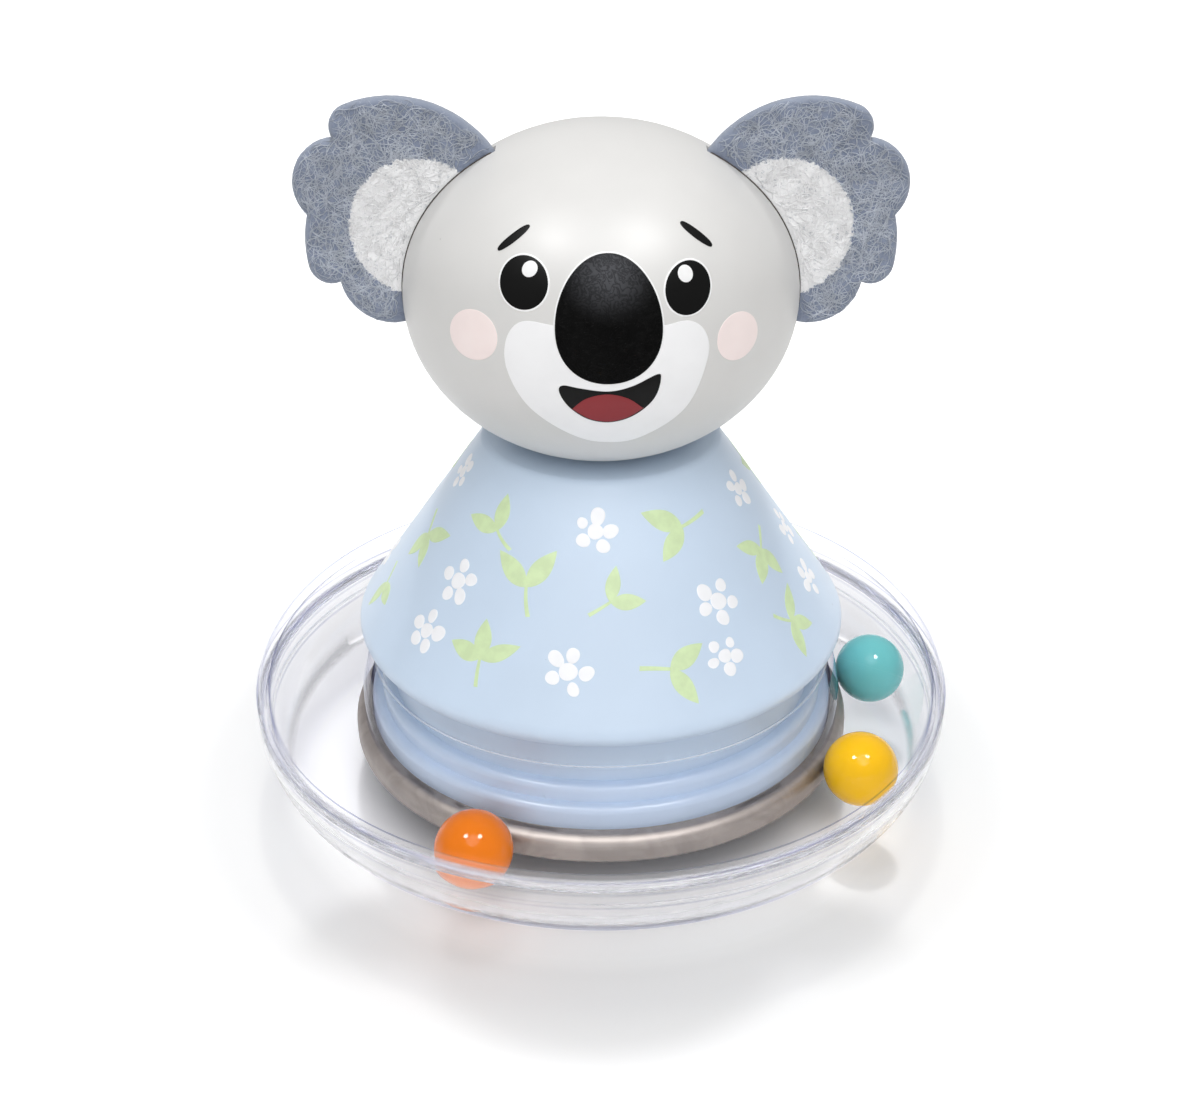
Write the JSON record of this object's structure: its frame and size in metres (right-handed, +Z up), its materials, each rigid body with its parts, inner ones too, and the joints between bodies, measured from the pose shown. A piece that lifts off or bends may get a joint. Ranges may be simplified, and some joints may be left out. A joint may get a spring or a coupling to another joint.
{
  "type": "roly poly toy",
  "caption": "Koala roly poly toy: painted wooden head and cone body with felt ears on a weighted clear dish that rocks, with loose balls rolling in its sealed ring.",
  "frame": {"origin": "on the ground at the middle of the resting flat, under the figure's axis", "axes": "+Z up along the figure's axis, the face looks towards -Y, +X is to the right in the front view"},
  "size_m": [0.1458, 0.1458, 0.1451],
  "materials": {
    "head_paint": "satin paint with a printed face",
    "body_paint": "satin paint with a small floral print",
    "bare_wood": "bare turned beech",
    "ear_felt": "thick wool-look felt with a printed pale middle",
    "spool_plastic": "moulded, satin gloss",
    "clear_plastic": "clear, polished",
    "weight_steel": "turned and polished",
    "screw_steel": "zinc plated",
    "teal_plastic": "polished",
    "yellow_plastic": "polished",
    "orange_plastic": "polished"
  },
  "bodies": {
    "toy": {"head": "head_paint", "left_ear": "ear_felt", "right_ear": "ear_felt", "neck_dowel": "bare_wood", "body_cone": "body_paint", "body_screws": "screw_steel", "base_spool": "spool_plastic", "clear_cover": "clear_plastic", "clear_bowl": "clear_plastic", "weight_plate": "weight_steel", "weight_screws": "screw_steel"},
    "ball_teal": {"ball_teal": "teal_plastic"},
    "ball_yellow": {"ball_yellow": "yellow_plastic"},
    "ball_orange": {"ball_orange": "orange_plastic"}
  },
  "joints": [
    {"name": "ball_teal_round", "type": "hinge", "parent": "toy", "child": "ball_teal", "pos_m": [0, 0, 0.01764], "axis": [0, 0, 1], "continuous": true},
    {"name": "ball_yellow_round", "type": "hinge", "parent": "ball_teal", "child": "ball_yellow", "pos_m": [0, 0, 0.01764], "axis": [0, 0, 1], "range_deg": [-135, 22]},
    {"name": "ball_orange_round", "type": "hinge", "parent": "ball_yellow", "child": "ball_orange", "pos_m": [0, 0, 0.01764], "axis": [0, 0, 1], "range_deg": [-88, 69]}
  ]
}
